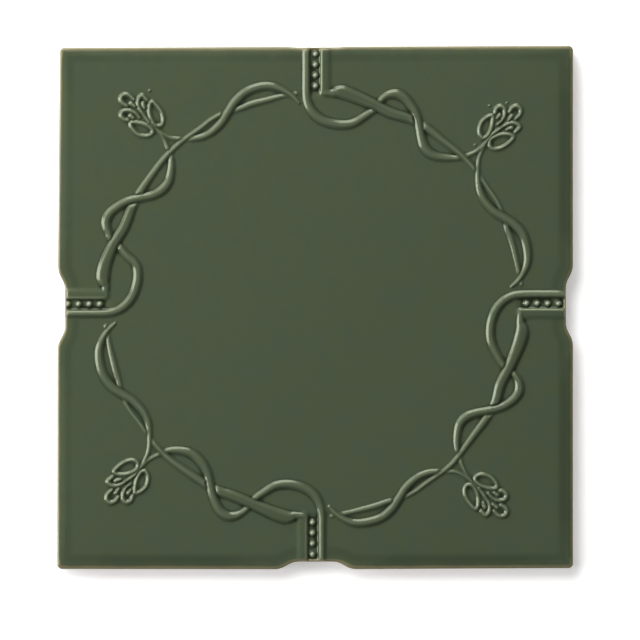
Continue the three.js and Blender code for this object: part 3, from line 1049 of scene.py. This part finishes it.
    def edge_rings(self) -> list[Pair]:
        """The rings from the face's border down the side to the back, as inset and height."""
        radius = self.edge_rounding
        rings = []
        for degrees in self.edge_degrees:
            angle = math.radians(degrees)
            drop = radius * (1 - math.sin(angle)) + self.cushion_drop
            rings.append((radius * (1 - math.cos(angle)), self.face_height - drop))
        rings += [(0.0, level) for level in (*self.side_levels, self.back_arris)]
        return rings + [self.arris_middle, (self.back_arris, 0.0)]


@dataclass(frozen=True)
class GlazeFinish:
    """Green glaze over a buff clay body: paler where it runs thin, darker in hollows and at the
    feet of the relief, partly as pooled glaze and partly as painted shade, and pale on the bead
    tops, partly as thin glaze and partly as a painted highlight.

    An ease is a value's limits and what it gives at them; a noise is its scale, detail and seed.
    """

    olive: Triple = (0.0535, 0.0680, 0.0372)
    teal: Triple = (0.0508, 0.0674, 0.0405)
    brim: Triple = (0.0435, 0.0580, 0.0330)
    thin: Triple = (0.142, 0.170, 0.104)
    # darkens hollows and the feet of the relief: partly pooled glaze, partly painted shade
    pooled_glaze_and_shade: Triple = (0.010, 0.0135, 0.0065)
    # pale bead tops: partly thin glaze, partly a painted highlight
    bead_thin_glaze_and_highlight: Triple = (0.30, 0.34, 0.25)
    rim: Triple = (0.165, 0.150, 0.082)
    clay: Triple = (0.295, 0.222, 0.155)
    dark_clay: Triple = (0.25, 0.18, 0.12)
    sheen: Triple = (0.95, 1.0, 0.78)
    roughness: float = 0.18
    clay_roughness: float = 0.85
    glass_ior: float = 1.5
    ripple_strength: float = 0.12
    ripple_depth: float = 0.0002
    glaze_end: Pair = (0.0052, 0.0046)
    glaze_end_wander: float = 0.006
    pool_wander: float = 0.05
    rim_wander: float = 0.5
    cloud: Triple = (170.0, 4.0, 0.0)
    grain: Triple = (900.0, 2.0, 0.3)
    ragged: Triple = (160.0, 4.0, 0.9)
    ripple: Triple = (420.0, 2.0, 0.5)
    teal_ease: Ease = (0.42, 0.6)
    sharp_ease: Ease = (0.02, 0.22, 0.0, 0.9)
    steep_ease: Ease = (0.06, 0.4, 0.0, 0.3)
    pool_and_shade_ease: Ease = (0.05, 0.24, 0.0, 0.86)
    bead_highlight_ease: Ease = (0.55, 0.9, 0.0, 0.7)
    brim_start: Ease = (1.6, 2.8)
    brim_end: Ease = (5.0, 3.4)
    plain_ease: Ease = (0.0002, 0.0)
    ends_ease: Ease = (0.0722, 0.0742, 0.0, 0.3)
    rim_ease: Ease = (1.1, 0.1)

    def build(self) -> bpy.types.Material:
        """Builds the material."""
        material = bpy.data.materials.new("green_glaze")
        material.use_nodes = True
        tree = material.node_tree
        tree.nodes.clear()
        sheet = NodeSheet(tree)
        place = sheet.add("ShaderNodeTexCoord").outputs["Object"]
        parts = sheet.add("ShaderNodeSeparateXYZ", place).outputs

        def read(name: str) -> Socket:
            """Reads a value that the blank or the press tree kept on the tile."""
            return sheet.add("ShaderNodeAttribute", attribute_name=name).outputs["Fac"]

        def noise(scale: float, detail: float, seed: float) -> Socket:
            """Adds a noise over the tile's own coordinates and returns it."""
            shift = sheet.add("ShaderNodeMapping", place, (seed, seed * 0.7, 0.0)).outputs[0]
            return sheet.add("ShaderNodeTexNoise", shift, scale, detail).outputs["Fac"]

        def blend(share: object, first: object, second: object) -> Socket:
            """Mixes two colours by a share and returns the mix."""
            node = tree.nodes.new("ShaderNodeMix")
            node.data_type = "RGBA"
            sheet.feed(node.inputs["Factor"], share)
            for name, value in (("A", first), ("B", second)):
                socket = [s for s in node.inputs if s.name == name and s.type == "RGBA"][0]
                sheet.feed(socket, (*value, 1.0) if isinstance(value, tuple) else value)
            return [s for s in node.outputs if s.type == "RGBA"][0]

        cloud, grain = noise(*self.cloud), noise(*self.grain)
        body = blend(sheet.ease(cloud, *self.teal_ease), self.olive, self.teal)
        # darker in hollows and at the feet of the relief: partly pooled glaze, partly painted shade
        wander = sheet.times(sheet.minus(grain, 0.5), self.pool_wander)
        depth = sheet.math("ADD", read("pool"), wander)
        runny = sheet.math(
            "MAXIMUM",
            sheet.ease(read("sharp"), *self.sharp_ease),
            sheet.ease(read("steep"), *self.steep_ease),
        )
        body = blend(runny, body, self.thin)
        body = blend(sheet.ease(depth, *self.pool_and_shade_ease), body, self.pooled_glaze_and_shade)
        # pale bead tops: partly thin glaze, partly a painted highlight
        body = blend(sheet.ease(read("bead"), *self.bead_highlight_ease), body, self.bead_thin_glaze_and_highlight)
        wander = sheet.times(sheet.minus(cloud, 0.5), self.rim_wander)
        near_rim = sheet.math("ADD", read("inset"), wander)
        brim = sheet.times(
            sheet.ease(near_rim, *self.brim_start), sheet.ease(near_rim, *self.brim_end)
        )
        brim = sheet.times(brim, sheet.ease(read("relief"), *self.plain_ease))
        body = blend(brim, body, self.brim)
        ends = sheet.ease(sheet.math("ABSOLUTE", parts["Y"]), *self.ends_ease)
        near_edge = sheet.minus(near_rim, ends)
        body = blend(sheet.ease(near_edge, *self.rim_ease), body, self.rim)
        ragged = sheet.times(sheet.minus(noise(*self.ragged), 0.5), self.glaze_end_wander)
        bare = sheet.ease(sheet.math("ADD", parts["Z"], ragged), *self.glaze_end)
        body = blend(bare, body, blend(grain, self.clay, self.dark_clay))
        rough = sheet.add(
            "ShaderNodeMapRange", bare, 0.0, 1.0, self.roughness, self.clay_roughness
        ).outputs[0]
        bump = sheet.add("ShaderNodeBump")
        sheet.fill(bump, {
            "Strength": self.ripple_strength,
            "Distance": self.ripple_depth,
            "Height": noise(*self.ripple),
        })
        shader = sheet.add("ShaderNodeBsdfPrincipled")
        sheet.fill(shader, {
            "Base Color": body,
            "Roughness": rough,
            "Normal": bump.outputs[0],
            "IOR": self.glass_ior,
            "Specular Tint": (*self.sheen, 1.0),
        })
        sheet.add("ShaderNodeOutputMaterial", shader.outputs[0])
        return material


@dataclass
class WallTile:
    """The wall tile: its blank, its ornament and its glaze."""

    outline: TileOutline = field(default_factory=TileOutline)
    ornament: Ornament = field(default_factory=Ornament)
    finish: GlazeFinish = field(default_factory=GlazeFinish)
    channel_depth: float = 0.48

    def press(self, blank: bpy.types.Object, guides: dict[Press, bpy.types.Object]) -> None:
        """Puts the press tree on the blank and sets its inputs.

        Args:
            blank: the unpressed tile.
            guides: the guide object of each group of lines.
        """
        press_tree = PressTree()
        tree = press_tree.build()
        modifier = blank.modifiers.new("press", "NODES")
        modifier.node_group = tree
        socket = {
            item.name: item.identifier
            for item in tree.interface.items_tree
            if item.item_type == "SOCKET" and item.in_out == "INPUT"
        }
        for press, guide in guides.items():
            modifier[socket[press.guide]] = guide
        sizes = {
            "Channel depth": self.channel_depth,
            "Groove": press_tree.groove,
            "Bead radius": self.ornament.bead_radius,
            "Bead height": self.ornament.bead_height,
        }
        for name, value in sizes.items():
            modifier[socket[name]] = value * MM
        modifier[socket["Bead count"]] = self.ornament.bead_count
        modifier[socket["Glaze"]] = self.finish.build()

    def build(self) -> bpy.types.Object:
        """Builds the dressed tile and returns it."""
        lines = self.ornament.lines()
        blank = TileBlank(self.outline).build(lines)
        guides = {press: self.ornament.guide(press, lines) for press in Press}
        self.press(blank, guides)
        graph = bpy.context.evaluated_depsgraph_get()
        mesh = bpy.data.meshes.new_from_object(blank.evaluated_get(graph), depsgraph=graph)
        mesh.name = "glazed_tile"
        tile = place_object("glazed_tile", mesh)
        for spent in [blank, *guides.values()]:
            bpy.data.objects.remove(spent)
        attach(tile, "root")
        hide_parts(NODE)
        LOG.info("glazed tile: %d vertices, %d faces", len(mesh.vertices), len(mesh.polygons))
        return tile


@dataclass(frozen=True)
class Lamp:
    """An oval soft light that faces the tile, in degrees, millimetres and watts.

    A lamp that is not mirrored lights the tile but leaves no reflection in the glaze.
    """

    name: str
    azimuth: float
    elevation: float
    distance: float
    width: float
    height: float
    power: float
    mirrored: bool = True

    def build(self) -> None:
        """Builds the lamp."""
        lamp = bpy.data.lights.new(self.name, "AREA")
        lamp.shape = "ELLIPSE"
        lamp.size = self.width * MM
        lamp.size_y = self.height * MM
        lamp.energy = self.power
        stand = place_object(self.name, lamp)
        high, round_ = math.radians(self.elevation), math.radians(self.azimuth)
        way = Vector(
            (math.cos(high) * math.cos(round_), math.cos(high) * math.sin(round_), math.sin(high))
        )
        turn = way.to_track_quat("Z", "Y").to_matrix().to_4x4()
        stand.matrix_world = Matrix.Translation(way * self.distance * MM) @ turn
        stand.visible_glossy = self.mirrored


@dataclass
class Studio:
    """The plain pale floor, the soft light and the camera above the tile."""

    view_middle: Pair = (1.45, -3.69)
    view_width: float = 186.3
    camera_height: float = 1600.0
    face_height: float = 8.0
    sensor: float = 36.0
    view_depth: float = 10.0
    lamps: tuple[Lamp, ...] = (
        Lamp("left_window", 178.0, 26.0, 1300.0, 850.0, 760.0, 14.5),
        Lamp("corner_window", 138.0, 26.0, 1300.0, 850.0, 760.0, 5.5),
        Lamp("top_window", 98.0, 26.0, 1300.0, 850.0, 760.0, 10.5),
        Lamp("halo", 139.0, 48.0, 1300.0, 1500.0, 400.0, 1.8),
        Lamp("panel", 127.0, 60.0, 1300.0, 650.0, 650.0, 10.6, False),
    )
    sky: float = 0.05
    table_glow: float = 0.42
    floor_tone: Triple = (0.95, 0.95, 0.95)
    floor_shades: Pair = (0.99, 1.0)
    floor_grain: Pair = (300.0, 2.0)
    floor_roughness: float = 0.9
    floor_gloss: float = 0.1
    floor_half: float = 1.6
    floor_drop: float = -0.0001

    def floor(self) -> bpy.types.Object:
        """Builds the floor and returns it."""
        mesh = bpy.data.meshes.new("floor")
        turns = ((-1, -1), (1, -1), (1, 1), (-1, 1))
        corners = [(x * self.floor_half, y * self.floor_half, self.floor_drop) for x, y in turns]
        mesh.from_pydata(corners, [], [(0, 1, 2, 3)])
        material = bpy.data.materials.new("pale_floor")
        material.use_nodes = True
        sheet = NodeSheet(material.node_tree)
        shader = material.node_tree.nodes["Principled BSDF"]
        place = sheet.add("ShaderNodeTexCoord").outputs["Object"]
        fine = sheet.add("ShaderNodeTexNoise", place, *self.floor_grain).outputs["Fac"]
        ramp = sheet.add("ShaderNodeValToRGB", fine)
        for element, share in zip(ramp.color_ramp.elements, self.floor_shades):
            element.color = (*(tone * share for tone in self.floor_tone), 1.0)
        sheet.fill(shader, {
            "Base Color": ramp.outputs[0],
            "Roughness": self.floor_roughness,
            "Specular IOR Level": self.floor_gloss,
            "Emission Color": WHITE,
            "Emission Strength": self.table_glow,
        })
        mesh.materials.append(material)
        floor = place_object("floor", mesh)
        return floor

    def light(self) -> None:
        """Builds the lamps and the even surround."""
        for lamp in self.lamps:
            lamp.build()
        world = bpy.data.worlds.new("studio")
        world.use_nodes = True
        surround = world.node_tree.nodes["Background"]
        surround.inputs["Color"].default_value = WHITE
        surround.inputs["Strength"].default_value = self.sky
        bpy.context.scene.world = world

    def camera(self) -> bpy.types.Object:
        """Builds the camera that looks straight down, and returns it."""
        data = bpy.data.cameras.new("camera")
        data.sensor_width = self.sensor
        distance = self.camera_height - self.face_height
        data.lens = self.sensor * distance / self.view_width
        data.clip_end = self.view_depth
        camera = place_object("camera", data)
        x, y = self.view_middle
        camera.location = (x * MM, y * MM, self.camera_height * MM)
        bpy.context.scene.camera = camera
        return camera

    def build(self) -> None:
        """Builds the floor, the lights and the camera, and sets a plain colour transform."""
        self.camera()
        self.floor()
        self.light()
        bpy.context.scene.view_settings.view_transform = "Standard"


def main() -> None:
    """Builds the studio and the tile."""
    logging.basicConfig(level=logging.INFO, format="%(name)s: %(message)s")
    Studio().build()
    LOG.info("studio ready")
    WallTile().build()


if __name__ == "__main__":
    main()
